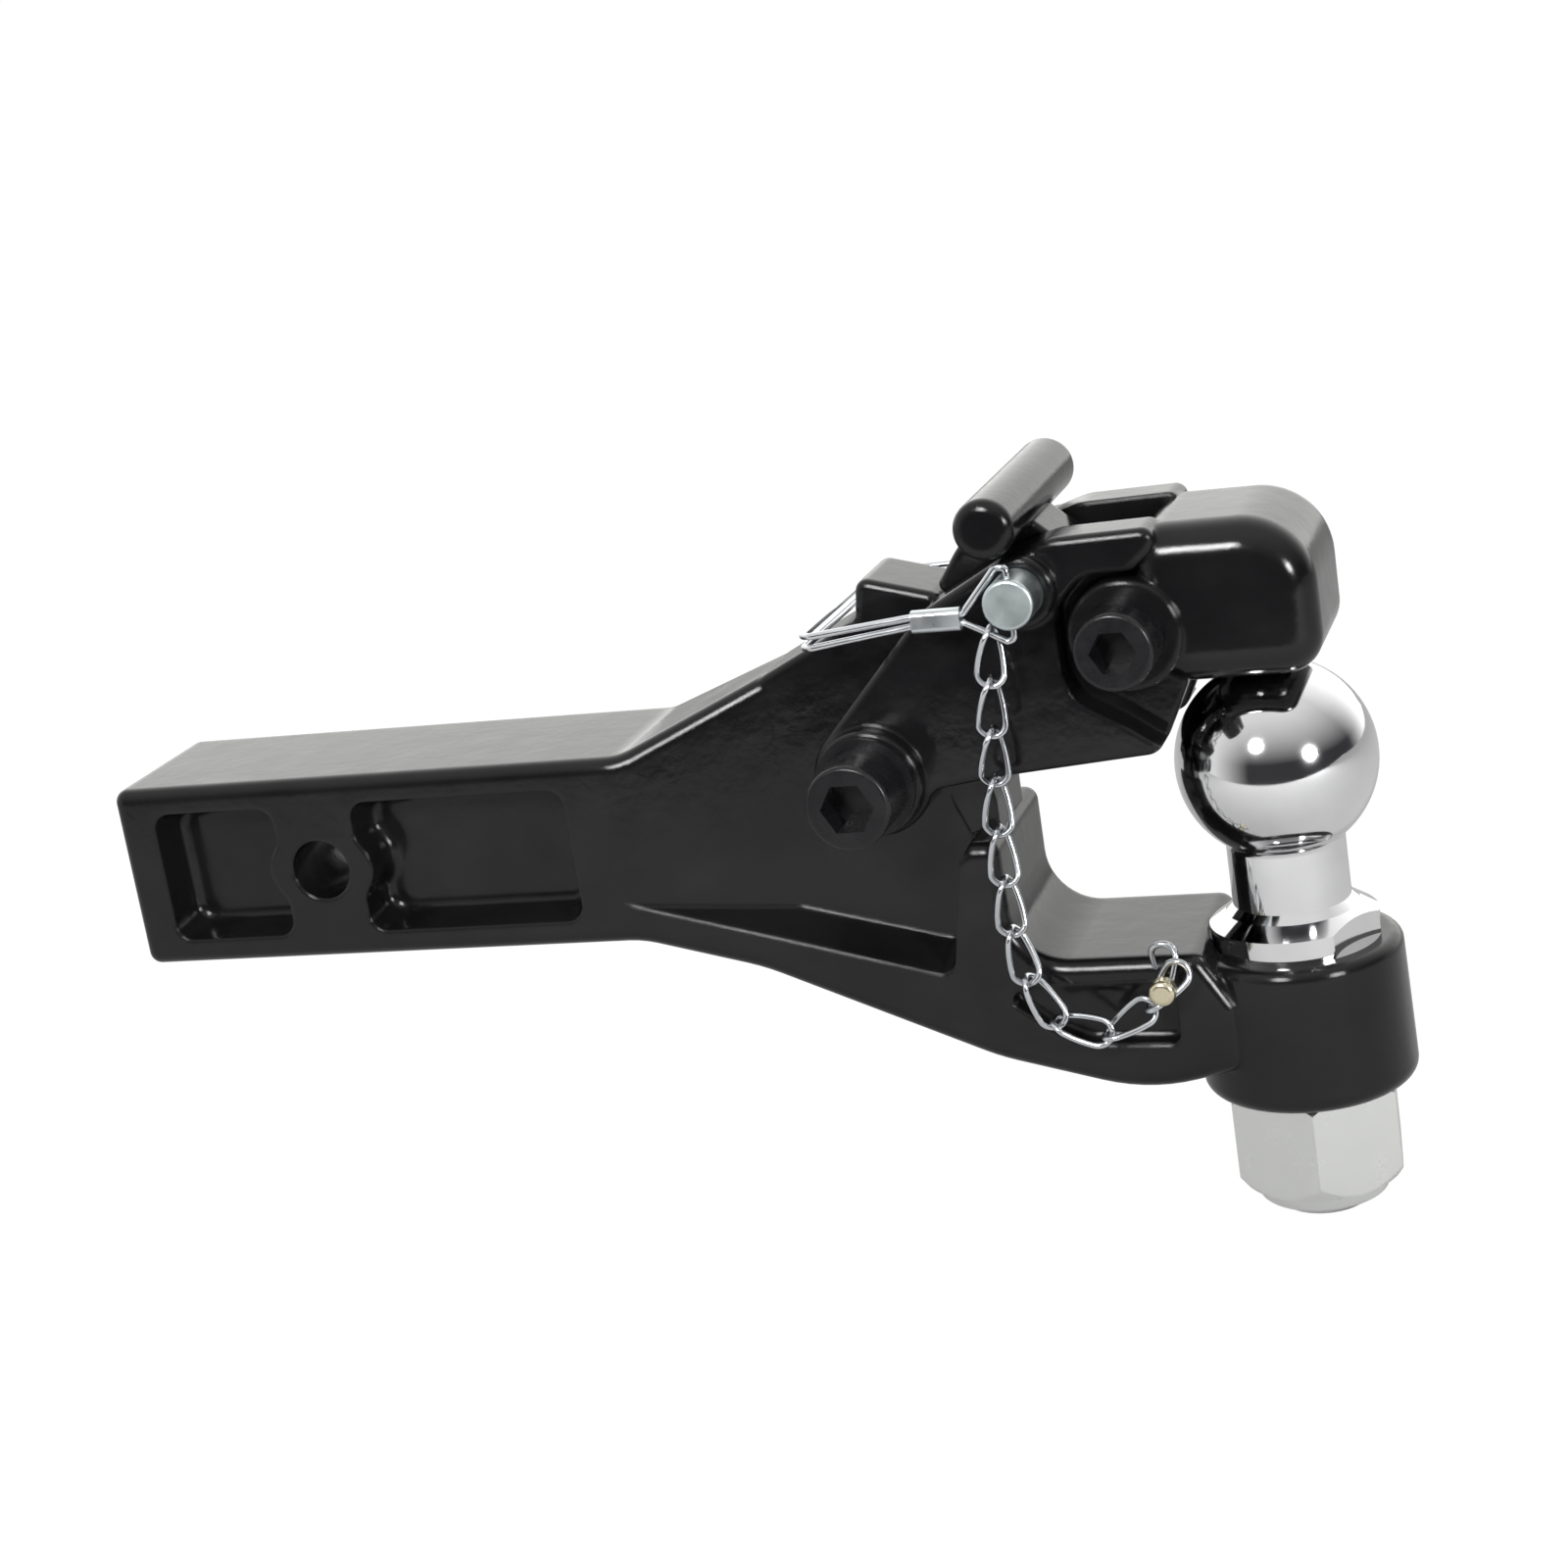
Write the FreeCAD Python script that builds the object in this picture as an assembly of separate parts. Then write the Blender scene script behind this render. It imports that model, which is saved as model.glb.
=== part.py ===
import FreeCAD, Part
import math
import os

os.makedirs("parts", exist_ok=True)
V = FreeCAD.Vector

# Driving sizes in millimetres, X from the receiver towards the ball, Z up, origin in the hitch-pin bore
SHANK = 50.8
SHANK_TAIL = 59.3
SHANK_EDGE = 3.5
HITCH_BORE = 16.7
WEB = 26.0
NECK = (88.5, 130.0)
NECK_BEND = 25.0
GAP_SIDE = 0.4
JAW_WIDTH = 52.8
NOSE_INSET = 2.0
BALL = 50.8
BALL_X = 256.3
BALL_Z = 7.1
STUD = 25.4
FLANGE = 21.4
BOSS_TOP = -40.7
BOSS_BOTTOM = -79.2
BOSS_RADIUS = 27.0
SADDLE = -35.9
JAW_PIVOT = (158.8, 15.9)
JAW_BOLT = 14.0
LATCH_PIVOT = (227.4, 47.8)
LATCH_BOLT = 12.0
PIN = 12.7
PIN_AT = (203.5, 61.5)
RUN = 0.05
BAIL_WIRE = 1.8
BAIL_BEND = 1.6
CHAIN_WIRE = 1.6
CHAIN_LINK = 16.9
CHAIN_WIDTH = 8.4


def side_face(points, y):
    """A flat face in the side view from corners given as x, z and corner radius."""
    corners = []
    n = len(points)
    for i in range(n):
        x, z, radius = points[i]
        here = V(x, y, z)
        to_last = (V(points[i - 1][0], y, points[i - 1][1]) - here).normalize()
        to_next = (V(points[(i + 1) % n][0], y, points[(i + 1) % n][1]) - here).normalize()
        if radius == 0:
            corners.append((here, here, here))
            continue
        opening = to_last.getAngle(to_next)
        reach = radius / math.tan(opening / 2)
        inward = (to_last + to_next).normalize()
        middle = here + inward * (radius / math.sin(opening / 2) - radius)
        corners.append((here + to_last * reach, middle, here + to_next * reach))
    edges = []
    for i in range(n):
        start, middle, stop = corners[i]
        if start.distanceToPoint(stop) > 1e-6:
            edges.append(Part.Arc(start, middle, stop).toShape())
        beyond = corners[(i + 1) % n][0]
        if stop.distanceToPoint(beyond) > 1e-6:
            edges.append(Part.makeLine(stop, beyond))
    return Part.Face(Part.Wire(edges))


def slab(points, y0, y1):
    """The side-view outline made solid between two depths."""
    return side_face(points, y0).extrude(V(0, y1 - y0, 0))


def rod(at, radius, y0, y1):
    """A round bar across the hitch."""
    return Part.makeCylinder(radius, y1 - y0, V(at[0], y0, at[1]), V(0, 1, 0))


def soften(shape, radius, pick):
    """Round the picked edges."""
    return shape.makeFillet(radius, [e for e in shape.Edges if pick(e)])


def at_depth(depth):
    """Pick the edges that lie flat at a depth on either side."""
    def pick(edge):
        box = edge.BoundBox
        return box.YLength < 0.01 and abs(abs(box.YMin) - depth) < 0.01
    return pick


def both_sides(shape):
    """The shape and its mirror on the far side."""
    return [shape, shape.mirror(V(0, 0, 0), V(0, 1, 0))]


def hexagon(across_flats, at, y0, y1):
    """A six-sided bar across the hitch."""
    r = across_flats / math.sqrt(3.0)
    points = []
    for k in range(6):
        turn = math.radians(60 * k)
        points.append((at[0] + r * math.cos(turn), at[1] + r * math.sin(turn), 0))
    return slab(points, y0, y1)


def wire(points, radius, bend):
    """A round wire along straight runs joined by bends of one radius."""
    edges = []
    last = V(*points[0])
    for i in range(1, len(points) - 1):
        here = V(*points[i])
        to_last = (V(*points[i - 1]) - here).normalize()
        to_next = (V(*points[i + 1]) - here).normalize()
        opening = to_last.getAngle(to_next)
        reach = bend / math.tan(opening / 2)
        inward = (to_last + to_next).normalize()
        middle = here + inward * (bend / math.sin(opening / 2) - bend)
        edges.append(Part.makeLine(last, here + to_last * reach))
        edges.append(Part.Arc(here + to_last * reach, middle, here + to_next * reach).toShape())
        last = here + to_next * reach
    edges.append(Part.makeLine(last, V(*points[-1])))
    section = Part.Wire(Part.makeCircle(radius, V(*points[0]), V(*points[1]) - V(*points[0])))
    return Part.Wire(edges).makePipeShell([section], True, True)


def save(name, shape):
    """Write one piece."""
    shape.exportStep("parts/" + name + ".step")


# Hook body: shank, web, keeper block, saddle, lower arm and ball boss in one casting
half = SHANK / 2.0
shank = Part.makeBox(SHANK_TAIL + 78.0, SHANK, SHANK, V(-SHANK_TAIL, -half, -half))
shank = soften(shank, SHANK_EDGE, lambda e: e.CenterOfMass.x < 77.0)
frame = slab([
    (60.0, half, 4), (90.0, half, 15), (134.0, 43.2, 4), (134.0, -8.0, 4), (164.0, -14.0, 6), (180.0, -3.4, 3.7),
    (188.2, -3.4, 3.6), (188.2, SADDLE, 14.5), (235.5, SADDLE, 4), (244.0, -50.0, 4), (244.0, -67.0, 4),
    (219.0, -72.6, 50), (181.0, -61.8, 60), (121.0, -34.4, 60), (NECK[0], -half, 30), (60.0, -half, 4)], -half, half)
casting = soften(frame, SHANK_EDGE, at_depth(half))

# The neck narrows in plan from the shank to the web, above a ledge along the arm
taper = math.atan2(half - WEB / 2, NECK[1] - NECK[0])
reach = NECK_BEND * math.tan(taper / 2)
bend_in = V(NECK[0] - reach, -half, 0)
bend_mid = bend_in + V(NECK_BEND * math.sin(taper / 2), NECK_BEND * (1 - math.cos(taper / 2)), 0)
bend_out = V(NECK[0] + reach * math.cos(taper), -half + reach * math.sin(taper), 0)
near_edge = [
    Part.makeLine(V(60, -half, 0), bend_in), Part.Arc(bend_in, bend_mid, bend_out).toShape(),
    Part.makeLine(bend_out, V(NECK[1], -WEB / 2, 0)), Part.makeLine(V(NECK[1], -WEB / 2, 0), V(300, -WEB / 2, 0))]
far_edge = [e.mirror(V(0, 0, 0), V(0, 1, 0)) for e in near_edge]
ends = [Part.makeLine(V(x, -y, 0), V(x, y, 0)) for x, y in ((60, half), (300, WEB / 2))]
plan = Part.Face(Part.Wire(Part.__sortEdges__(near_edge + far_edge + ends)))
plan.translate(V(0, 0, -90))
plan = plan.extrude(V(0, 0, 220))
inner_ledge = side_face([
    (70.0, -5.0, 0), (132.6, -21.6, 0), (173.2, -32.4, 4), (178.3, -8.0, 4),
    (182.0, -1.5, 0), (300.0, -1.5, 0), (300.0, 120.0, 0), (70.0, 120.0, 0)], -WEB / 2 + 2)
outer_ledge = side_face([
    (70.0, -10.1, 0), (132.6, -27.6, 0), (172.6, -39.0, 4), (177.9, -8.0, 4),
    (182.0, -1.5, 0), (300.0, -1.5, 0), (300.0, 120.0, 0), (70.0, 120.0, 0)], -half - 1)
beside = Part.makeLoft([inner_ledge.OuterWire, outer_ledge.OuterWire], True, True).cut(plan)
for side in both_sides(beside):
    casting = casting.cut(side)
neck_top = slab([
    (60.0, half, 0), (90.0, half, 15), (NECK[1], 41.6, 0), (NECK[1], 10.0, 0), (60.0, 10.0, 0)], -half, half)
neck_top = neck_top.common(plan)
neck_top = soften(neck_top, SHANK_EDGE, lambda e: e.BoundBox.ZMin > 20 and e.BoundBox.XLength > 0.5)
casting = casting.cut(Part.makeBox(80, 80, 60, V(60, -40, 10))).fuse(neck_top)
web = slab([
    (110.0, -28.0, 4), (110.0, 30.0, 4), (NECK[1], 41.6, 8), (156.2, 54.2, 2.5), (157.8, 65.0, 3),
    (177.0, 59.6, 2.5), (187.0, 53.1, 3), (186.5, 44.0, 4), (178.0, 26.0, 10), (176.5, 6.0, 8), (183.0, -10.0, 4),
    (183.0, -45.0, 4), (150.0, -40.0, 4)], -WEB / 2, WEB / 2)
casting = casting.fuse(soften(web, 2.0, at_depth(WEB / 2)))
arm_pocket = slab([
    (184.0, -44.5, 2.5), (193.0, -42.0, 4), (229.0, -42.0, 3), (229.0, -59.0, 3), (206.0, -58.4, 6),
    (196.0, -53.8, 6)], -half - 1, -half + 5.0)
arm_pocket = soften(arm_pocket, 2.0, at_depth(half - 5.0))
for side in both_sides(arm_pocket):
    casting = casting.cut(side)
boss = Part.makeCone(BOSS_RADIUS + 0.5, BOSS_RADIUS - 0.3, BOSS_TOP - BOSS_BOTTOM, V(BALL_X, 0, BOSS_BOTTOM))
boss = soften(boss, 4.0, lambda e: e.CenterOfMass.z < BOSS_BOTTOM + 1 and e.Length > 100)
boss = soften(boss, 3.0, lambda e: e.CenterOfMass.z > BOSS_TOP - 1 and e.Length > 100)
casting = shank.fuse(casting).fuse(boss).removeSplitter()


def shank_pocket(points):
    """A drafted pocket in the near side of the shank."""
    cx = sum(p[0] for p in points) / len(points)
    floor = [(cx + (p[0] - cx) * 0.94, p[1] * 0.88, p[2]) for p in points]
    top = side_face(points, -half - 0.5).OuterWire
    bottom = side_face(floor, -half + 12.0).OuterWire
    return soften(Part.makeLoft([top, bottom], True, True), 3.0, at_depth(half - 12.0))


rear_pocket = shank_pocket([
    (-48.0, 18.5, 5), (-11.5, 18.5, 5), (-11.5, 8.5, 5), (-17.0, 0.0, 9), (-11.5, -8.5, 5), (-11.5, -18.5, 5), (-48.0, -18.5, 5)])
front_pocket = shank_pocket([
    (74.0, 18.5, 5), (11.5, 18.5, 5), (11.5, 8.5, 5), (17.0, 0.0, 9), (11.5, -8.5, 5), (11.5, -18.5, 5), (74.0, -18.5, 5)])
for tool in both_sides(rear_pocket) + both_sides(front_pocket):
    casting = casting.cut(tool)
casting = casting.cut(Part.makeCylinder(FLANGE + 0.6, 40, V(BALL_X, 0, BOSS_TOP)))
casting = casting.cut(rod((0, 0), HITCH_BORE / 2, -40, 40))
casting = casting.cut(rod(JAW_PIVOT, JAW_BOLT / 2 + RUN, -40, 40))
casting = casting.cut(Part.makeCylinder(STUD / 2 + RUN, 80, V(BALL_X, 0, BOSS_BOTTOM - 10)))
SCREW_AT = (227.4, -41.8)
SCREW = 3.0
screw_pad = soften(rod(SCREW_AT, 4.6, -half, -half + 8.0), 1.0, at_depth(half))
casting = casting.fuse(screw_pad).cut(rod(SCREW_AT, SCREW / 2 + RUN, -half - 1, -half + 10.0))
save("hook_body", casting)

# Tow ball: ball, neck, flange with two wrench flats and stud in one turned piece
r = BALL / 2
neck = 15.0
z_neck = BALL_Z - math.sqrt(r * r - neck * neck)
ball = Part.Face(Part.Wire([
    Part.makeLine(V(0, 0, -113.0), V(STUD / 2 - 1.5, 0, -113.0)),
    Part.makeLine(V(STUD / 2 - 1.5, 0, -113.0), V(STUD / 2, 0, -111.5)),
    Part.makeLine(V(STUD / 2, 0, -111.5), V(STUD / 2, 0, BOSS_TOP)),
    Part.makeLine(V(STUD / 2, 0, BOSS_TOP), V(FLANGE, 0, BOSS_TOP)),
    Part.makeLine(V(FLANGE, 0, BOSS_TOP), V(FLANGE, 0, BOSS_TOP + 6.0)),
    Part.makeLine(V(FLANGE, 0, BOSS_TOP + 6.0), V(neck + 2.0, 0, BOSS_TOP + 9.0)),
    Part.makeLine(V(neck + 2.0, 0, BOSS_TOP + 9.0), V(neck, 0, BOSS_TOP + 11.0)),
    Part.makeLine(V(neck, 0, BOSS_TOP + 11.0), V(neck, 0, z_neck)),
    Part.Arc(V(neck, 0, z_neck), V(r, 0, BALL_Z), V(0, 0, BALL_Z + r)).toShape(),
    Part.makeLine(V(0, 0, BALL_Z + r), V(0, 0, -113.0)),
])).revolve(V(0, 0, 0), V(0, 0, 1), 360)
ball = soften(ball, 2.5, lambda e: abs(e.CenterOfMass.z - z_neck) < 0.5 and e.Length > 50)
flats = Part.makeBox(60, 60, 8.9, V(-30, 19.0, BOSS_TOP + 0.05))
flats = flats.fuse(Part.makeBox(60, 60, 8.9, V(-30, -79.0, BOSS_TOP + 0.05)))
flats.rotate(V(0, 0, 0), V(0, 0, 1), 62)
ball = ball.cut(flats)
ball.translate(V(BALL_X, 0, 0))
save("tow_ball", ball)

# Ball nut with its round lock collar, and the lock ring held in the collar
nut_r = 41.3 / math.sqrt(3.0)
points = []
for k in range(7):
    points.append(V(nut_r * math.cos(math.radians(60 * k + 37)), nut_r * math.sin(math.radians(60 * k + 37)), 0))
nut = Part.Face(Part.makePolygon(points)).extrude(V(0, 0, -26.0))
cone = Part.makeCone(nut_r - 1.4, nut_r + 30.6, 32.0, V(0, 0, 0), V(0, 0, -1))
cone2 = Part.makeCone(nut_r - 3.2, nut_r + 29.0, 45.0, V(0, 0, -26.0), V(0, 0, 1))
nut = nut.common(cone).common(cone2)
collar = Part.makeCone(17.8, 16.6, 5.0, V(0, 0, -26.0), V(0, 0, -1))
collar = soften(collar, 1.5, lambda e: e.CenterOfMass.z < -30.5)
nut = nut.fuse(collar)
nut = nut.cut(Part.makeCylinder(STUD / 2 + RUN, 60, V(0, 0, -50)))
nut = nut.cut(Part.makeCylinder(15.0, 3.4, V(0, 0, -30.2)))
nut.translate(V(BALL_X, 0, BOSS_BOTTOM))
save("ball_nut", nut)
ring = Part.makeCylinder(15.0, 3.4).cut(Part.makeCylinder(STUD / 2 + RUN, 10, V(0, 0, -2)))
ring.translate(V(BALL_X, 0, BOSS_BOTTOM - 30.2))
save("ball_nut_lock_ring", ring)

# Upper jaw: two cheeks round the web, joined by the nose that closes over the ball
inner = WEB / 2 + GAP_SIDE
outer = JAW_WIDTH / 2
nose_half = outer - NOSE_INSET
px, pz = JAW_PIVOT
lobe = 15.5


def lobe_corner(a, b):
    """The corner where the tangents of the lobe at two angles meet."""
    reach = lobe / math.cos((b - a) / 2)
    return (px + reach * math.cos((a + b) / 2), pz + reach * math.sin((a + b) / 2), lobe)


def lobe_angle(at, turn):
    """The angle on the lobe at which a straight edge from a point touches it."""
    x = at[0] - px
    z = at[1] - pz
    return math.atan2(z, x) + turn * math.acos(lobe / math.hypot(x, z))


jaw_back = (176.8, 57.5, 12)
jaw_throat = (174.5, 11.83, 5)
back_angle = lobe_angle(jaw_back, 1)
throat_angle = lobe_angle(jaw_throat, -1) + 2 * math.pi
third = (throat_angle - back_angle) / 3
cheek = slab([
    lobe_corner(back_angle, back_angle + third), jaw_back, (199.5, 69.8, 4), (212.0, 73.6, 12), (238.6, 74.2, 3),
    (236.4, 68.0, 3), (229.0, 62.0, 3), (240.0, 50.0, 3), (240.0, 33.0, 6), (232.4, 17.5, 5), (192.0, 14.2, 25),
    jaw_throat, lobe_corner(throat_angle - third, throat_angle),
    lobe_corner(back_angle + third, throat_angle - third)], -outer, -inner)
cheek = soften(cheek, 2.0, at_depth(outer))
groove = slab([
    (211.0, 56.0, 8), (219.0, 64.2, 8), (236.0, 64.2, 8), (250.0, 50.0, 0), (250.0, 17.6, 0), (236.0, 17.6, 0),
    (225.0, 25.4, 10), (213.5, 32.4, 8), (210.9, 40.0, 8)], -outer - 1, -inner - 4.0)
cheek = cheek.cut(groove)
jaw_boss = soften(rod(JAW_PIVOT, 14.0, -outer - 5.0, -outer + 1.0), 1.2, at_depth(outer + 5.0))
pin_boss = soften(rod(PIN_AT, 9.0, -outer - 3.0, -outer + 1.0), 1.2, at_depth(outer + 3.0))
hub = soften(rod(LATCH_PIVOT, 14.2, -outer + 0.5, -inner), 1.2, at_depth(outer - 0.5))
nose = slab([
    (229.0, 73.2, 9.5), (273.8, 73.2, 18), (273.8, 33.4, 9.5), (235.0, 33.4, 9.5), (229.0, 50.0, 12)],
    -nose_half, nose_half)
nose = soften(nose, 8.5, at_depth(nose_half))
jaw = nose
for piece in both_sides(cheek) + both_sides(jaw_boss) + both_sides(pin_boss) + both_sides(hub):
    jaw = jaw.fuse(piece)
cavity = slab([
    (130.0, -20.0, 0), (130.0, 100.0, 0), (230.0, 100.0, 0), (234.0, 66.0, 3), (242.0, 54.0, 3), (242.0, 40.0, 3),
    (239.0, 30.0, 3), (239.0, 5.0, 0)], -inner, inner)
jaw = jaw.cut(cavity).removeSplitter()
jaw = jaw.cut(Part.makeSphere(BALL / 2 + 1.8, V(BALL_X, 0, BALL_Z)))
jaw = jaw.cut(rod(JAW_PIVOT, JAW_BOLT / 2 + RUN, -60, 60))
jaw = jaw.cut(rod(LATCH_PIVOT, LATCH_BOLT / 2 + RUN, -60, 60))
jaw = jaw.cut(rod(PIN_AT, PIN / 2 + RUN, -60, 60))
save("upper_jaw", jaw)

# Latch lever with its cross handle, hooked in front of the keeper block
lx, lz = LATCH_PIVOT
latch_half = 11.0
BAR_AT = (198.8, 79.3)
latch = slab([
    (178.0, 60.35, 2), (183.6, 68.4, 6), (190.6, 77.0, 4), (204.0, 76.0, 3), (208.0, 72.4, 6), (219.0, 64.5, 6),
    (232.0, 59.0, 6), (239.0, 48.0, 6), (233.0, 37.0, 6), (219.0, 36.8, 6), (208.0, 45.0, 6), (192.0, 50.3, 2)],
    -latch_half, latch_half)
latch = soften(latch, 1.5, at_depth(latch_half))
notch_turn = math.radians(34)
dx, dz = PIN_AT[0] - lx, PIN_AT[1] - lz
notch = rod(PIN_AT, PIN / 2 + 0.4, -20, 20)
for step in range(1, 9):
    turn = notch_turn * step / 8.0
    spot = (lx + dx * math.cos(turn) - dz * math.sin(turn), lz + dx * math.sin(turn) + dz * math.cos(turn))
    notch = notch.fuse(rod(spot, PIN / 2 + 0.4, -20, 20))
bar = soften(rod(BAR_AT, 7.6, -38.0, 38.0), 3.0, at_depth(38.0))
spring_room = rod(LATCH_PIVOT, 12.6, 5.5, 20.0)
latch = latch.cut(spring_room)
latch = latch.fuse(bar).cut(notch).cut(rod(LATCH_PIVOT, LATCH_BOLT / 2 + RUN, -20, 20)).removeSplitter()
save("latch_lever", latch)


def cap_screw(at, size, head, tall, socket, face_y, tip_y):
    """A socket-head screw with its head on the near side."""
    body = rod(at, head / 2, face_y, face_y + tall)
    body = soften(body, 1.2, lambda e: e.BoundBox.YMax < face_y + 0.01)
    body = body.cut(hexagon(socket, at, face_y - 1, face_y + tall * 0.55))
    stem = rod(at, size / 2, face_y + tall, tip_y)
    return body.fuse(stem).removeSplitter()


def plain_nut(at, across_flats, bore, y0, y1):
    """A hexagon nut on the far side, chamfered on its outer face."""
    body = hexagon(across_flats, at, y0, y1)
    tip = across_flats / math.sqrt(3.0)
    dome = Part.makeCone(tip + 19.0, tip - 1.0, (y1 - y0) + 20.0 * 0.5, V(at[0], y0 - 10.0, at[1]), V(0, 1, 0))
    return body.common(dome).cut(rod(at, bore / 2 + RUN, y0 - 1, y1 + 1))


def washer(at, across, bore, y0, y1):
    """A flat washer."""
    return rod(at, across / 2, y0, y1).cut(rod(at, bore / 2 + 0.3, y0 - 1, y1 + 1))


# Jaw pivot screw with washers and nut
seat = outer + 5.0 + 0.3
save("jaw_pivot_screw", cap_screw(JAW_PIVOT, JAW_BOLT, 21.8, 16.0, 12.0, -seat - 2.5 - 16.0, seat + 18.0))
save("jaw_pivot_washer_near", washer(JAW_PIVOT, 26.0, JAW_BOLT, -seat - 2.5, -seat))
save("jaw_pivot_washer_far", washer(JAW_PIVOT, 26.0, JAW_BOLT, seat, seat + 2.5))
save("jaw_pivot_nut", plain_nut(JAW_PIVOT, 21.0, JAW_BOLT, seat + 2.5, seat + 15.5))

# Latch pivot screw with washer and nut
seat = outer - 0.5
save("latch_pivot_screw", cap_screw(LATCH_PIVOT, LATCH_BOLT, 19.6, 15.0, 10.0, -seat - 15.0, seat + 16.0))
save("latch_pivot_washer", washer(LATCH_PIVOT, 25.0, LATCH_BOLT, seat, seat + 2.5))
save("latch_pivot_nut", plain_nut(LATCH_PIVOT, 18.0, LATCH_BOLT, seat + 2.5, seat + 13.5))

# Latch spring: two turns of wire round the latch pivot in the room beside the latch
coil_wire = Part.Wire(Part.makeCircle(1.0, V(9.6, 0, 0), V(0, 1, 0)))
coil = Part.Wire(Part.makeHelix(2.3, 4.6, 9.6)).makePipeShell([coil_wire], True, True)
coil.rotate(V(0, 0, 0), V(1, 0, 0), -90)
coil.translate(V(LATCH_PIVOT[0], 7.1, LATCH_PIVOT[1]))
save("latch_spring", coil)

# Safety pin, drilled near its near end for the wire bail and grooved near its far end
pin = rod(PIN_AT, PIN / 2, -41.0, 41.0)
pin = soften(pin, 1.0, lambda e: e.BoundBox.YMax < -40.9 or e.BoundBox.YMin > 40.9)
BAIL_Y = 37.5
BAIL_END = 43.2
pin = pin.cut(Part.makeCylinder(BAIL_WIRE / 2 + 0.1, 20, V(PIN_AT[0], -BAIL_Y, PIN_AT[1] - 10)))
save("safety_pin", pin)

# Wire bail: two strands from the pin to the ferrule, round behind the keeper and over the pin's far end
w = BAIL_WIRE / 2
z0 = PIN_AT[1]
strands = []
for side in (1, -1):
    rear = [
        (191.5, -BAIL_Y, 58.5 + side * 1.15), (178.4, -BAIL_Y, 58.5 + side * 1.15), (151.6, -36.6, 55.2 + side * 1.5),
        (149.0, -34.0, 54.9 + side * 1.5), (148.4, 34.0, 53.6 + side * 1.5), (151.0, 36.6, 53.5 + side * 1.5),
        (172.0, 37.2, 53.9 + side * 1.6), (191.0, BAIL_END, z0 - 1.0 + side * 2.4),
        (206.5, BAIL_END, z0 - 1.0 + side * 2.4)]
    if side > 0:
        eye = [(PIN_AT[0], -BAIL_Y, z0 + 3.0), (PIN_AT[0], -BAIL_Y, z0 + 8.8), (PIN_AT[0] - 2.6, -BAIL_Y, z0 + 8.8)]
    else:
        eye = [(PIN_AT[0], -BAIL_Y, z0 - 3.0), (PIN_AT[0], -BAIL_Y, z0 - 10.6)]
    strands.append(eye + rear)
bail_path = strands[0] + strands[1][::-1]
save("wire_bail", wire(bail_path, w, BAIL_BEND))
ferrule = Part.makeBox(12.2, 3.8, 5.6, V(178.6, -BAIL_Y - 1.9, 55.7))
ferrule = soften(ferrule, 1.4, lambda e: e.BoundBox.XLength > 12.0)
ferrule = ferrule.cut(wire(bail_path, w + RUN, BAIL_BEND))
save("bail_ferrule", ferrule)

# Chain: twisted wire links hanging from the bail to the anchor screw on the arm
def link(centre, along, roll):
    """One flat-sided wire link at a place, pointing along the chain and rolled about it."""
    r = CHAIN_WIRE / 2
    half_run = CHAIN_LINK / 2 - CHAIN_WIDTH / 2
    bend = CHAIN_WIDTH / 2 - r
    path = []
    for end in (1, -1):
        for k in range(6):
            turn = math.radians(-75 + 30 * k)
            path.append((end * (half_run + bend * math.cos(turn)), end * bend * math.sin(turn)))
    n = len(path)
    rings = []
    for i in range(n):
        a = V(path[i - 1][0], path[i - 1][1], 0)
        b = V(path[i][0], path[i][1], 0)
        c = V(path[(i + 1) % n][0], path[(i + 1) % n][1], 0)
        d0 = (b - a).normalize()
        d1 = (c - b).normalize()
        n0 = V(d0.y, -d0.x, 0)
        n1 = V(d1.y, -d1.x, 0)
        mitre = (n0 + n1).normalize()
        reach = r / mitre.dot(n0)
        ring = []
        for k in range(8):
            turn = math.radians(45 * k + 22.5)
            ring.append(b + mitre * (reach * math.cos(turn)) + V(0, 0, r * math.sin(turn)))
        rings.append(ring)
    faces = []
    for i in range(n):
        here = rings[i]
        there = rings[(i + 1) % n]
        for k in range(8):
            m = (k + 1) % 8
            faces.append(Part.Face(Part.makePolygon([here[k], here[m], there[m], there[k], here[k]])))
    solid = Part.Solid(Part.Shell(faces))
    if solid.Volume < 0:
        solid.reverse()
    solid.rotate(V(0, 0, 0), V(1, 0, 0), roll)
    turn = FreeCAD.Rotation(V(1, 0, 0), V(*along))
    solid.Placement = FreeCAD.Placement(V(*centre), turn).multiply(solid.Placement)
    return solid


CHAIN_Y = -33.0
hang = [
    (197.7, -BAIL_Y, 55.0), (195.9, -37.0, 42.4), (194.1, -35.6, 29.3), (192.6, -33.6, 16.3), (191.6, CHAIN_Y, 3.1),
    (191.4, CHAIN_Y, -10.0), (191.4, CHAIN_Y, -23.3), (193.7, CHAIN_Y, -36.8), (200.0, CHAIN_Y, -49.0),
    (211.2, -half - 6.8, -53.0), (223.0, -half - 5.0, -46.8), (SCREW_AT[0] + 4.8, -half - 4.0, SCREW_AT[1] + 4.9)]
curve = Part.BSplineCurve()
curve.interpolate([V(*p) for p in hang])
joints = curve.discretize(Number=len(hang))
links = []
for i in range(len(joints) - 1):
    a = joints[i]
    b = joints[i + 1]
    mid = (a + b) * 0.5
    roll = 90.0 * (i % 2) + 90.0 * i / (len(joints) - 2)
    links.append(link((mid.x, mid.y, mid.z), (b.x - a.x, b.y - a.y, b.z - a.z), roll))
spare = CHAIN_LINK / 2 - CHAIN_WIRE - SCREW / 2 - 0.3
links.append(link((SCREW_AT[0] - 0.3, -half - 1.5, SCREW_AT[1] + spare), (0.06, 0, 1), 90.0))
save("chain", Part.makeCompound(links))

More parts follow.
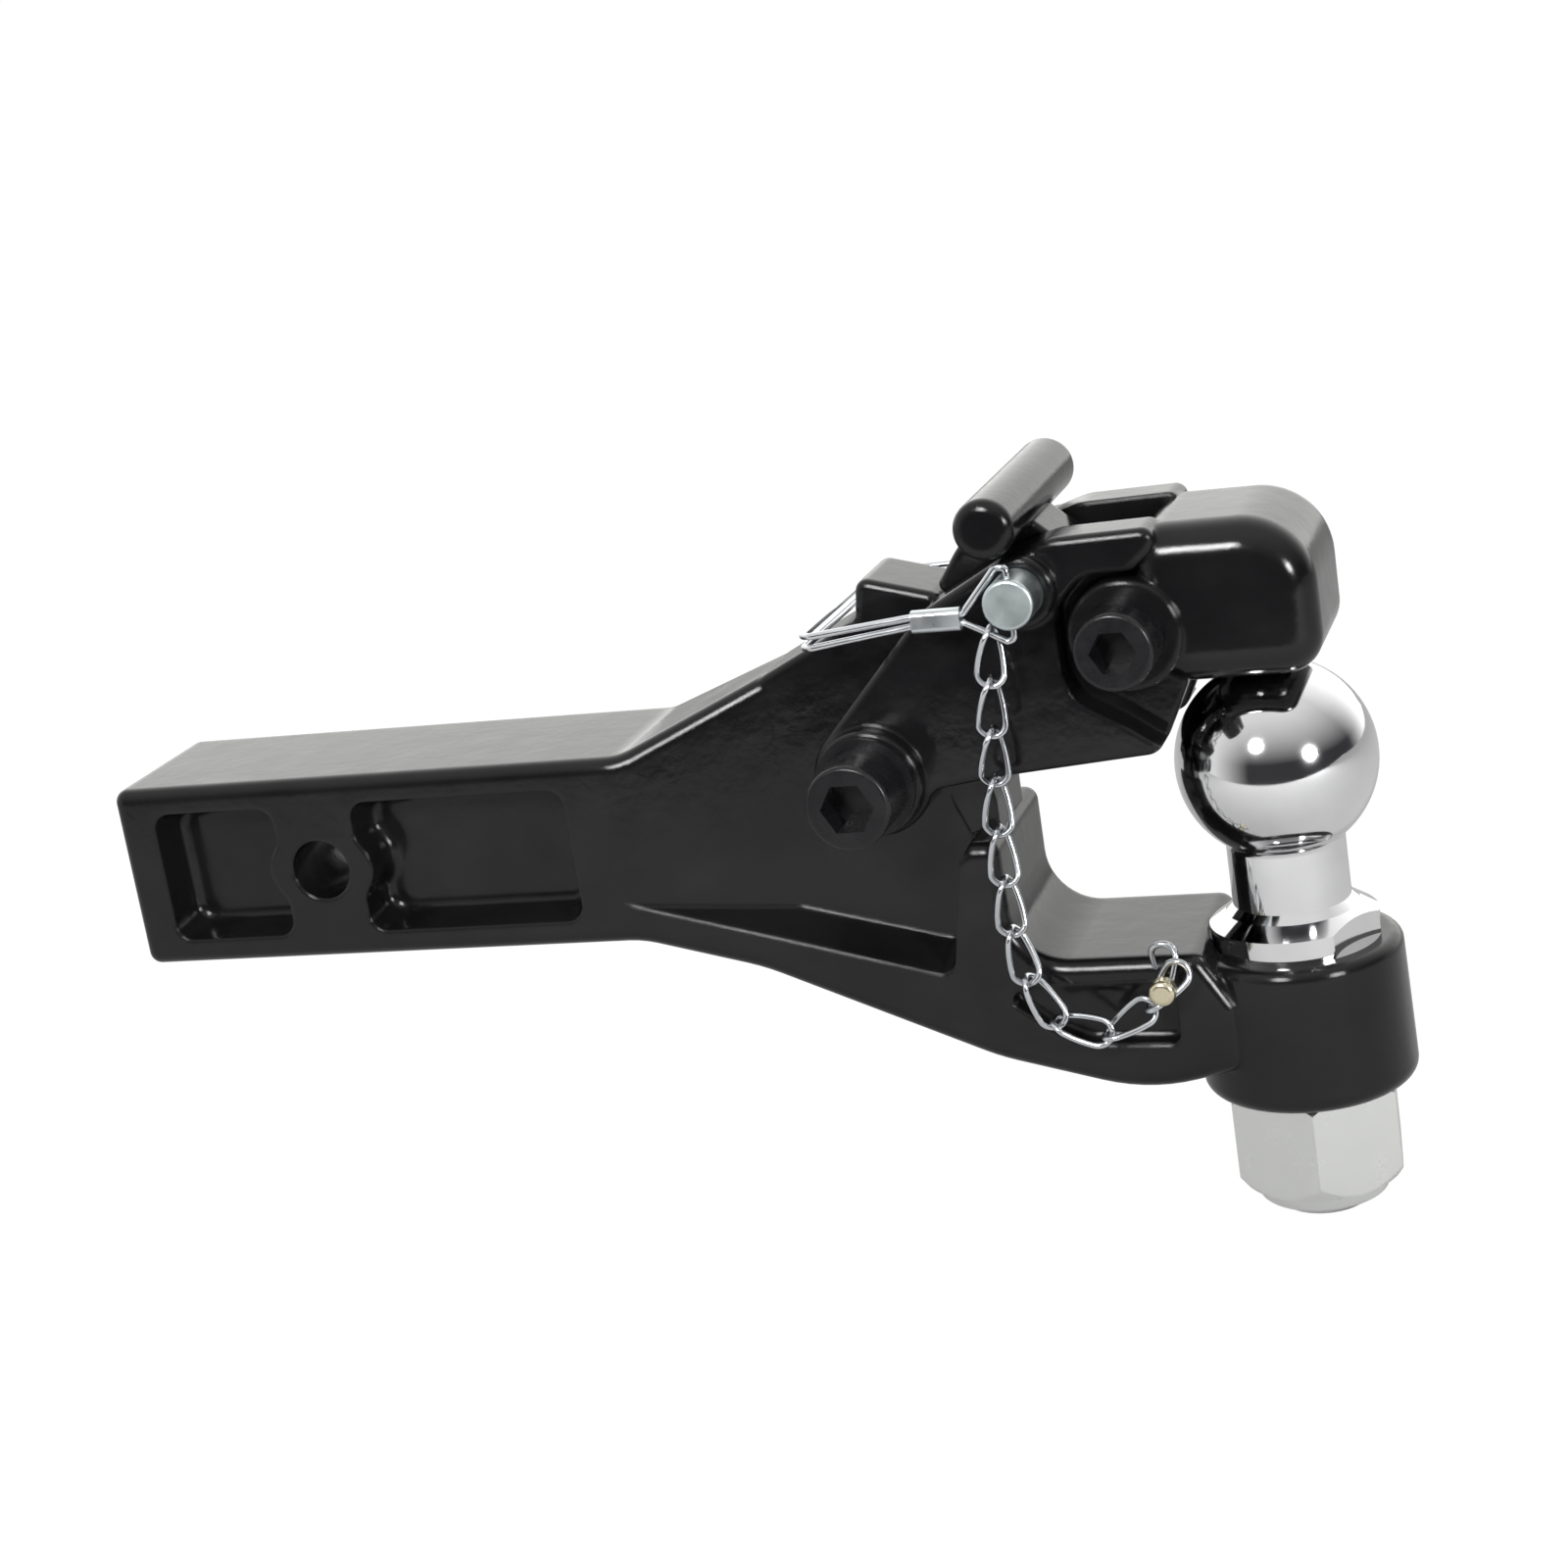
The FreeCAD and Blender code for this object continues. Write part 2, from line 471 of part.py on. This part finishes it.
# Anchor screw that holds the last link to the arm
head = soften(rod(SCREW_AT, 3.4, -half - 9.8, -half - 5.8), 1.5, lambda e: e.BoundBox.YMax < -half - 9.7)
screw = head.fuse(rod(SCREW_AT, SCREW / 2, -half - 5.8, -half + 9.0)).removeSplitter()
save("chain_anchor_screw", screw)
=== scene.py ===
import math

import bmesh
import bpy
import numpy
from mathutils import Matrix, Vector


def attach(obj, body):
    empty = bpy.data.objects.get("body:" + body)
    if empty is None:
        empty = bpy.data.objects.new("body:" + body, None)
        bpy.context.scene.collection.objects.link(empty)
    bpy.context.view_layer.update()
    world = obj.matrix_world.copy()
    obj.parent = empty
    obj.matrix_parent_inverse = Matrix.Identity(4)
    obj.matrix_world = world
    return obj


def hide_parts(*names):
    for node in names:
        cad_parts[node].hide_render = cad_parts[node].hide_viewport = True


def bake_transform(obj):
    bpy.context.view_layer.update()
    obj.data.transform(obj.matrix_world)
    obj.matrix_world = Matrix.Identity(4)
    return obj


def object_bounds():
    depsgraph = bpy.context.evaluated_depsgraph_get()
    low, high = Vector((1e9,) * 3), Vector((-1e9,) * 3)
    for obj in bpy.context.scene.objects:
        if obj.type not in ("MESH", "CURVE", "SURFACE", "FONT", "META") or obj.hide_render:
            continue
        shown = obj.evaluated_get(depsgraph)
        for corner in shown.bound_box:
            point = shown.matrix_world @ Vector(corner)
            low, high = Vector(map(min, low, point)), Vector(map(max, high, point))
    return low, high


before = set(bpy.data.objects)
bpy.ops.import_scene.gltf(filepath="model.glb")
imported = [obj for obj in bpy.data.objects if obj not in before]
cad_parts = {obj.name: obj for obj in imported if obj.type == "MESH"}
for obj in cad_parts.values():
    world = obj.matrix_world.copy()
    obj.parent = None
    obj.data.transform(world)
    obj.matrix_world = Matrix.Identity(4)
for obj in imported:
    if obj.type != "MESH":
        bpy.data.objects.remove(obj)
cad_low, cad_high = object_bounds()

# Hook body: one iron casting with the square shank, web, keeper block, saddle and ball boss.
# It is shot-blasted and sprayed with gloss black, so a fine orange peel and the slow waves
# of the sand mould show in its reflections.


def start_material(name):
    """An empty node material with a shader and its output; gives the material, its nodes and a linker."""
    material = bpy.data.materials.new(name)
    material.use_nodes = True
    nodes = material.node_tree.nodes
    shader = nodes["Principled BSDF"]
    return material, nodes, shader, material.node_tree.links.new


def noise(nodes, link, scale, detail, stretch=(1.0, 1.0, 1.0)):
    """Noise in object space, with features of about one metre over scale."""
    place = nodes.new("ShaderNodeTexCoord")
    mapping = nodes.new("ShaderNodeMapping")
    mapping.inputs["Scale"].default_value = stretch
    texture = nodes.new("ShaderNodeTexNoise")
    texture.inputs["Scale"].default_value = scale
    texture.inputs["Detail"].default_value = detail
    link(place.outputs["Object"], mapping.inputs["Vector"])
    link(mapping.outputs["Vector"], texture.inputs["Vector"])
    return texture.outputs["Fac"]


def spread(nodes, link, source, low, high, start=0.3, stop=0.7):
    """Maps a noise to a range of values."""
    ramp = nodes.new("ShaderNodeMapRange")
    ramp.inputs["From Min"].default_value = start
    ramp.inputs["From Max"].default_value = stop
    ramp.inputs["To Min"].default_value = low
    ramp.inputs["To Max"].default_value = high
    link(source, ramp.inputs["Value"])
    return ramp.outputs["Result"]


def two_tone(nodes, link, source, first, second):
    """Blends two colours by a value."""
    mix = nodes.new("ShaderNodeMix")
    mix.data_type = "RGBA"
    mix.inputs["A"].default_value = (*first, 1.0)
    mix.inputs["B"].default_value = (*second, 1.0)
    link(source, mix.inputs["Factor"])
    return mix.outputs["Result"]


def bumps(nodes, link, shader, layers, soft_edge=0.0):
    """Chains bump layers of (height, strength, depth in metres) into the shader's normal, over softened edges."""
    last = None
    if soft_edge > 0.0:
        edge = nodes.new("ShaderNodeBevel")
        edge.samples = 6
        edge.inputs["Radius"].default_value = soft_edge
        last = edge.outputs["Normal"]
    for height, strength, depth in layers:
        bump = nodes.new("ShaderNodeBump")
        bump.inputs["Strength"].default_value = strength
        bump.inputs["Distance"].default_value = depth
        link(height, bump.inputs["Height"])
        if last is not None:
            link(last, bump.inputs["Normal"])
        last = bump.outputs["Normal"]
    link(last, shader.inputs["Normal"])


def sprayed_black(name, peel, waves):
    """Gloss black spray paint over a blasted casting."""
    material, nodes, shader, link = start_material(name)
    cloud = spread(nodes, link, noise(nodes, link, 38.0, 5.0), 0.0, 1.0)
    deep, worn = (0.0042, 0.0041, 0.0046), (0.0080, 0.0078, 0.0083)
    link(two_tone(nodes, link, cloud, deep, worn), shader.inputs["Base Color"])
    link(spread(nodes, link, noise(nodes, link, 90.0, 4.0), 0.10, 0.19), shader.inputs["Roughness"])
    shader.inputs["IOR"].default_value = 1.37
    bumps(nodes, link, shader, (
        (noise(nodes, link, 70.0, 3.0), waves, 0.0012),
        (noise(nodes, link, 620.0, 2.0), peel, 0.0002)), 0.0018)
    return material


def dress(node, material):
    """Gives a CAD node its material and finish."""
    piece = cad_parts[node]
    piece.data.materials.clear()
    piece.data.materials.append(material)
    return piece


casting_black = sprayed_black("casting_black", 0.08, 0.14)
dress("hook_body", casting_black)

# Web front: the edge of the web between the jaw and the lip of the saddle.
# It is part of the same casting, under the same paint, and closes the corner
# behind the chain, a hair inside the sides of the web.
web_half = 0.0129
web_front = bmesh.new()
outline = ((0.1740, -0.0080), (0.1865, -0.0080), (0.1865, 0.0040), (0.1850, 0.0125), (0.1740, 0.0125))
near = web_front.faces.new([web_front.verts.new((x, -web_half, z)) for x, z in outline])
far = bmesh.ops.extrude_face_region(web_front, geom=[near])["geom"]
far_corners = [v for v in far if isinstance(v, bmesh.types.BMVert)]
bmesh.ops.translate(web_front, verts=far_corners, vec=(0, 2 * web_half, 0))
bmesh.ops.recalc_face_normals(web_front, faces=web_front.faces[:])
mesh = bpy.data.meshes.new("web_front")
web_front.to_mesh(mesh)
web_front.free()
mesh.materials.append(casting_black)
piece = bpy.data.objects.new("web_front", mesh)
bpy.context.scene.collection.objects.link(piece)
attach(piece, "hook")

# Tow ball: ball, neck, flange with wrench flats and stud, turned from one bar of steel.
# Polished and chromed, with faint turning marks in the finish.
chrome, nodes, shader, link = start_material("ball_chrome")
shader.inputs["Metallic"].default_value = 1.0
haze = spread(nodes, link, noise(nodes, link, 60.0, 4.0), 0.0, 1.0)
link(two_tone(nodes, link, haze, (0.78, 0.78, 0.79), (0.70, 0.70, 0.71)), shader.inputs["Base Color"])
link(spread(nodes, link, noise(nodes, link, 140.0, 5.0), 0.05, 0.11), shader.inputs["Roughness"])
bumps(nodes, link, shader, ((noise(nodes, link, 900.0, 2.0, (0.05, 0.05, 1.0)), 0.03, 0.0001),))
dress("tow_ball", chrome)

# Ball nut and its lock ring: a large plated hexagon nut drawn up against the boss, with a
# nylon ring pressed into the round collar at its end.


def zinc_plate(name, pale, deep, smooth, rough):
    """Zinc plating with the cloudy bloom that it has when new."""
    material, nodes, shader, link = start_material(name)
    shader.inputs["Metallic"].default_value = 1.0
    bloom = spread(nodes, link, noise(nodes, link, 45.0, 3.0), 0.0, 1.0)
    link(two_tone(nodes, link, bloom, pale, deep), shader.inputs["Base Color"])
    link(spread(nodes, link, noise(nodes, link, 120.0, 3.0), smooth, rough), shader.inputs["Roughness"])
    bumps(nodes, link, shader, ((noise(nodes, link, 900.0, 2.0), 0.012, 0.0001),))
    return material


bright_zinc = zinc_plate("bright_zinc", (0.84, 0.85, 0.84), (0.80, 0.81, 0.80), 0.24, 0.28)
dress("ball_nut", bright_zinc)
nylon, nodes, shader, link = start_material("ring_nylon")
mottle = spread(nodes, link, noise(nodes, link, 300.0, 4.0), 0.0, 1.0)
link(two_tone(nodes, link, mottle, (0.80, 0.79, 0.74), (0.72, 0.71, 0.66)), shader.inputs["Base Color"])
shader.inputs["Roughness"].default_value = 0.55
dress("ball_nut_lock_ring", nylon)

# Upper jaw and latch: two more castings in the same spray paint, the jaw hinged on the web
# and the latch between its cheeks, with a round cross handle cast on.
dress("upper_jaw", casting_black)
dress("latch_lever", sprayed_black("latch_black", 0.14, 0.08))

# Pivot screws, washers and nuts: steel socket-head screws through jaw and latch.
# They are black oxide finished and a little oily, and their nuts are on the far side.
oxide, nodes, shader, link = start_material("black_oxide")
film = spread(nodes, link, noise(nodes, link, 110.0, 5.0), 0.0, 1.0)
link(two_tone(nodes, link, film, (0.005, 0.005, 0.006), (0.010, 0.010, 0.011)), shader.inputs["Base Color"])
link(spread(nodes, link, noise(nodes, link, 320.0, 4.0), 0.22, 0.36), shader.inputs["Roughness"])
shader.inputs["IOR"].default_value = 1.38
bumps(nodes, link, shader, ((noise(nodes, link, 800.0, 3.0), 0.12, 0.0001),))
for node in ("jaw_pivot_screw", "jaw_pivot_washer_near", "jaw_pivot_washer_far", "jaw_pivot_nut",
             "latch_pivot_screw", "latch_pivot_washer", "latch_pivot_nut"):
    dress(node, oxide)

# Latch spring: a torsion spring of oiled steel wire.
# It is wound on the latch pivot, between the lever and the far cheek.
spring_wire = zinc_plate("oiled_spring_wire", (0.42, 0.42, 0.43), (0.32, 0.32, 0.33), 0.25, 0.4)
dress("latch_spring", spring_wire)

# Safety pin, wire bail and ferrule: a plated pin, with a doubled wire sprung round the back
# of the hitch and crimped in a flat sleeve.
pin_zinc = zinc_plate("pin_zinc", (0.57, 0.63, 0.63), (0.48, 0.53, 0.53), 0.3, 0.48)
dress("safety_pin", pin_zinc)
wire_zinc = zinc_plate("wire_zinc", (0.68, 0.69, 0.71), (0.54, 0.56, 0.59), 0.14, 0.26)
dress("wire_bail", wire_zinc)
ferrule_zinc = zinc_plate("ferrule_zinc", (0.60, 0.63, 0.64), (0.48, 0.51, 0.52), 0.26, 0.42)
dress("bail_ferrule", ferrule_zinc)

# Chain: twisted links of plated wire, from the eye of the bail to the screw on the arm.
# Each link is bent round and given nearly a quarter twist, so that the chain lies flat.
# The top link hangs on the bail and the last ones stay on the arm, attached to the hook; those between are baked in
# place where they lie.
link_wire = 0.0008
link_bend = 0.0034
link_run = 0.00425
link_twist = math.radians(88.0)
bend_steps = 48
half_pitch = 0.0066
spare_link_drop = 0.0022


def twisted_link():
    """One wire link along X about the origin, its ends turned a part of a turn against each other."""
    body = bmesh.new()
    ring = bmesh.ops.create_circle(body, segments=14, radius=link_wire)["verts"]
    bmesh.ops.rotate(body, verts=ring, cent=(0, 0, 0), matrix=Matrix.Rotation(math.pi / 2, 3, "X"))
    bmesh.ops.translate(body, verts=ring, vec=(link_bend, 0, 0))
    first_turn = math.pi / bend_steps - math.pi / 2
    bmesh.ops.rotate(body, verts=ring, cent=(0, 0, 0), matrix=Matrix.Rotation(first_turn, 3, "Z"))
    bmesh.ops.spin(body, geom=body.verts[:] + body.edges[:], cent=(0, 0, 0), axis=(0, 0, 1), angle=2 * math.pi,
                   steps=bend_steps, use_merge=True, use_duplicate=False)
    bmesh.ops.remove_doubles(body, verts=body.verts[:], dist=1e-6)
    for end in (1, -1):
        half = [v for v in body.verts if v.co.x * end > 0]
        bmesh.ops.translate(body, verts=half, vec=(end * link_run, 0, 0))
    runs = [e for e in body.edges if abs(e.verts[0].co.x - e.verts[1].co.x) > link_run]
    bmesh.ops.subdivide_edges(body, edges=runs, cuts=8, use_grid_fill=True)
    for v in body.verts:
        turn = link_twist * (v.co.x / (2 * (link_run + link_bend)) - 0.5)
        bmesh.ops.rotate(body, verts=[v], cent=(0, 0, 0), matrix=Matrix.Rotation(turn, 3, "X"))
    bmesh.ops.recalc_face_normals(body, faces=body.faces[:])
    return body


def link_places():
    """Centre and direction of each link, top first, read from the islands of the CAD chain."""
    copy = bmesh.new()
    copy.from_mesh(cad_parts["chain"].data)
    bmesh.ops.remove_doubles(copy, verts=copy.verts[:], dist=1e-6)
    seen = set()
    places = []
    for first in copy.verts:
        if first in seen:
            continue
        seen.add(first)
        island = [first]
        for v in island:
            for e in v.link_edges:
                other = e.other_vert(v)
                if other not in seen:
                    seen.add(other)
                    island.append(other)
        points = numpy.array([v.co for v in island])
        centre = points.mean(axis=0)
        spans = numpy.linalg.eigh(numpy.cov((points - centre).T))[1]
        places.append((Vector(centre), Vector(spans[:, 2])))
    copy.free()
    chained = [max(places, key=lambda p: p[0].z)]
    places.remove(chained[0])
    while places:
        chained.append(min(places, key=lambda p: (p[0] - chained[-1][0]).length))
        places.remove(chained[-1])
    return chained


places = link_places()
groups = (("chain_top", 0, 1), ("chain_upper", 1, 2), ("chain_lower", 2, 8), ("chain_anchored", 8, len(places)))
for name, begin, stop in groups:
    whole = bmesh.new()
    ends = []
    for index in range(begin, stop):
        centre, along = places[index]
        beyond = places[min(index + 1, len(places) - 1)][0] - places[max(index - 1, 0)][0]
        if along.dot(beyond) < 0:
            along = -along
        if index == len(places) - 1:
            centre = centre - Vector((0, 0, spare_link_drop))
        across = Vector((0, -1, 0)).cross(along).normalized()
        facing = along.cross(across)
        ends += [centre - along * half_pitch, centre + along * half_pitch]
        one = twisted_link()
        frame_of_link = Matrix((along, across, facing)).transposed().to_4x4()
        one.transform(Matrix.Translation(centre) @ frame_of_link)
        mesh = bpy.data.meshes.new(name)
        one.to_mesh(mesh)
        one.free()
        whole.from_mesh(mesh)
        bpy.data.meshes.remove(mesh)
    mesh = bpy.data.meshes.new(name)
    whole.to_mesh(mesh)
    whole.free()
    mesh.shade_smooth()
    mesh.materials.append(wire_zinc)
    piece = bpy.data.objects.new(name, mesh)
    bpy.context.scene.collection.objects.link(piece)
    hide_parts("chain")
    if name == "chain_top":
        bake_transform(piece)
    elif name == "chain_upper":
        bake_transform(piece)
    elif name == "chain_lower":
        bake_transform(piece)
    else:
        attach(piece, "hook")

# Anchor screw: a small round-head steel screw that holds the chain's end.
# It is zinc plated with a yellow finish and screwed into the side of the arm.
yellow_zinc = zinc_plate("yellow_zinc", (0.74, 0.68, 0.50), (0.60, 0.54, 0.38), 0.22, 0.38)
dress("chain_anchor_screw", yellow_zinc)

# Floor: a plain pale sheet under the nut, with its front edge half a metre before the part.
# It is nearly white to the camera, so that it runs into the backdrop and keeps a faint shadow.
floor_z = cad_low[2] - 0.002
floor_half, floor_front = 9.0, -0.52
middle = Matrix.Translation((0.12, floor_front + floor_half, floor_z))
sheet = bmesh.new()
bmesh.ops.create_grid(sheet, x_segments=1, y_segments=1, size=floor_half, matrix=middle)
mesh = bpy.data.meshes.new("floor")
sheet.to_mesh(mesh)
sheet.free()
pale, nodes, shader, link = start_material("pale_floor")
shader.inputs["Base Color"].default_value = (0.46, 0.46, 0.46, 1.0)
shader.inputs["Roughness"].default_value = 0.9
glow = nodes.new("ShaderNodeEmission")
glow.inputs["Color"].default_value = (1.0, 1.0, 1.0, 1.0)
glow.inputs["Strength"].default_value = 1.06
path = nodes.new("ShaderNodeLightPath")
share = nodes.new("ShaderNodeMath")
share.operation = "MULTIPLY"
share.inputs[1].default_value = 0.93
link(path.outputs["Is Camera Ray"], share.inputs[0])
both = nodes.new("ShaderNodeMixShader")
link(share.outputs["Value"], both.inputs["Fac"])
link(shader.outputs["BSDF"], both.inputs[1])
link(glow.outputs["Emission"], both.inputs[2])
link(both.outputs["Shader"], nodes["Material Output"].inputs["Surface"])
mesh.materials.append(pale)
floor = bpy.data.objects.new("floor", mesh)
bpy.context.scene.collection.objects.link(floor)

# Studio: a white room with a bright back wall, dark where the photographer stands.
# Two round soft boxes stand over the front.
world = bpy.data.worlds.new("studio")
bpy.context.scene.world = world
world.use_nodes = True
nodes = world.node_tree.nodes
link = world.node_tree.links.new
white = nodes["Background"]
white.inputs["Color"].default_value = (1.0, 1.0, 1.0, 1.0)
white.inputs["Strength"].default_value = 1.0
room = nodes.new("ShaderNodeBackground")
place = nodes.new("ShaderNodeTexCoord")
parts = nodes.new("ShaderNodeSeparateXYZ")
link(place.outputs["Generated"], parts.inputs["Vector"])
facing = nodes.new("ShaderNodeVectorMath")
facing.operation = "DOT_PRODUCT"
facing.inputs[1].default_value = (0.643, -0.766, 0.0)
link(place.outputs["Generated"], facing.inputs[0])
front = spread(nodes, link, facing.outputs["Value"], 0.0, 1.0, -0.25, 0.45)
above = spread(nodes, link, parts.outputs["Z"], 1.0, 0.0, 0.15, 0.90)
dark = nodes.new("ShaderNodeMath")
dark.operation = "MULTIPLY"
link(front, dark.inputs[0])
link(above, dark.inputs[1])
link(two_tone(nodes, link, dark.outputs["Value"], (1.0, 1.0, 0.985), (0.05, 0.05, 0.055)), room.inputs["Color"])
link(spread(nodes, link, parts.outputs["Y"], 0.9, 1.7, 0.1, 0.8), room.inputs["Strength"])
path = nodes.new("ShaderNodeLightPath")
either = nodes.new("ShaderNodeMixShader")
link(path.outputs["Is Camera Ray"], either.inputs["Fac"])
link(room.outputs["Background"], either.inputs[1])
link(white.outputs["Background"], either.inputs[2])
link(either.outputs["Shader"], nodes["World Output"].inputs["Surface"])
soft_boxes = (("soft_box_left", (0.02, -0.93, 0.56), 9.0, 0.27), ("soft_box_right", (1.06, -0.71, 0.26), 8.0, 0.25))
for name, place, power, size in soft_boxes:
    lamp = bpy.data.lights.new(name, "AREA")
    lamp.energy = power
    lamp.shape = "DISK"
    lamp.size = size
    box = bpy.data.objects.new(name, lamp)
    box.location = place
    box.rotation_euler = (Vector((0.15, 0, 0)) - Vector(place)).to_track_quat("-Z", "Y").to_euler()
    bpy.context.scene.collection.objects.link(box)

# Camera: a long lens to the right of the side view and a little above, held at a slight tilt.
# Its focal length is given in pixels of a frame 1600 pixels wide.
azimuth, elevation, roll = math.radians(19.46), math.radians(15.92), math.radians(-9.17)
target, distance = Vector((0.1261, 0.0, 0.0083)), 0.799
level = math.cos(elevation)
back = Vector((math.sin(azimuth) * level, -math.cos(azimuth) * level, math.sin(elevation)))
right = Vector((math.cos(azimuth), math.sin(azimuth), 0.0))
up = back.cross(right)
right_rolled = right * math.cos(roll) + up * math.sin(roll)
up_rolled = up * math.cos(roll) - right * math.sin(roll)
lens = bpy.data.cameras.new("camera")
focal_pixels, frame_pixels = 3087.0, 1600.0
lens.sensor_width = 36.0
lens.lens = focal_pixels / frame_pixels * 36.0
lens.clip_start = 0.05
camera = bpy.data.objects.new("camera", lens)
turned = Matrix((right_rolled, up_rolled, back)).transposed().to_4x4()
camera.matrix_world = Matrix.Translation(target + back * distance) @ turned
bpy.context.scene.collection.objects.link(camera)
bpy.context.scene.camera = camera
bpy.context.scene.view_settings.view_transform = "Standard"
